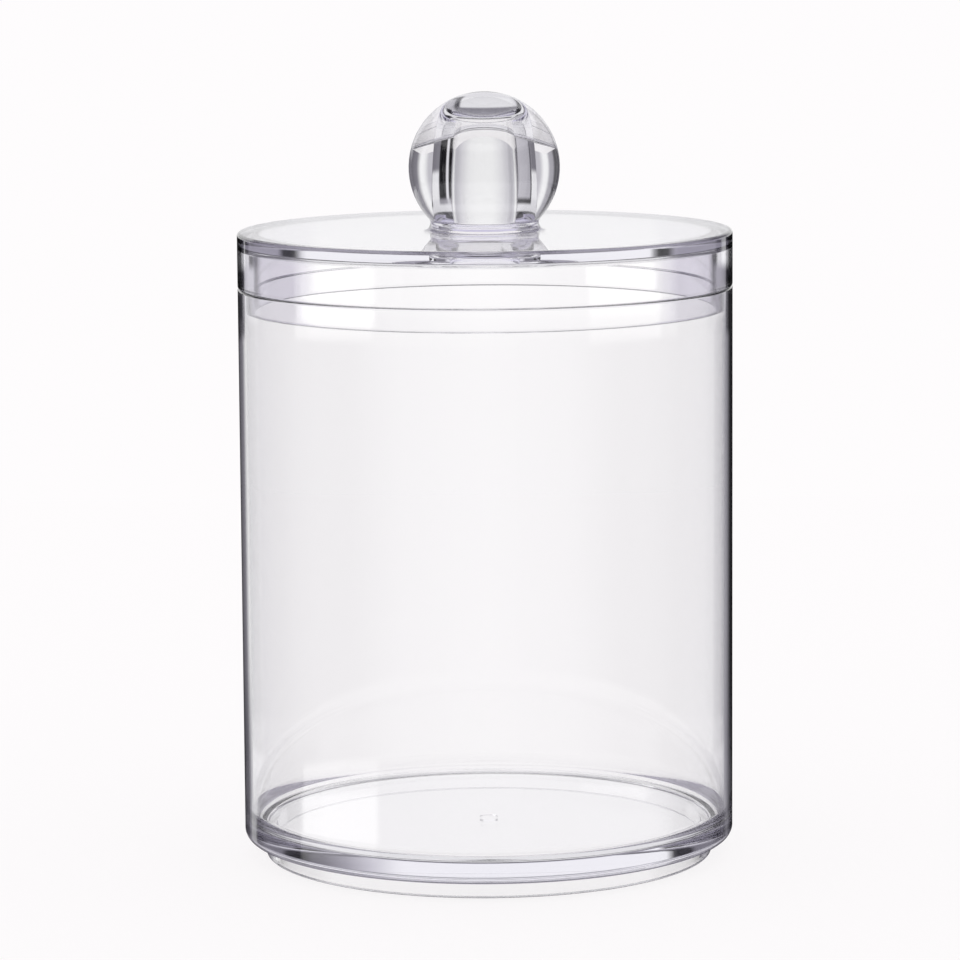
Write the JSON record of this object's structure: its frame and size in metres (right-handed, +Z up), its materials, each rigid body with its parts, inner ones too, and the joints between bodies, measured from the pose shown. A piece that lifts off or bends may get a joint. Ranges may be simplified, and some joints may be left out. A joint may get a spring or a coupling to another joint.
{
  "type": "cotton swab holder",
  "caption": "Clear round plastic jar on a foot ring, with a flush lift-off lid whose plug ring drops into the mouth and whose ball knob is the grip; keeps cotton swabs upright and in view.",
  "frame": {"origin": "on the axis, in the plane that the foot ring stands on", "axes": "+Z up along the axis of revolution, through the knob; X and Y are free, because the part is round"},
  "size_m": [0.08, 0.08, 0.1243],
  "materials": {
    "clear_plastic": "water-clear, polished in the mould"
  },
  "bodies": {
    "jar": {"jar": "clear_plastic"},
    "lid": {"lid": "clear_plastic"}
  },
  "joints": [
    {"name": "lid_lift", "type": "slide", "parent": "jar", "child": "lid", "axis": [0, 0, 1], "range_m": [0, 0.06]}
  ]
}
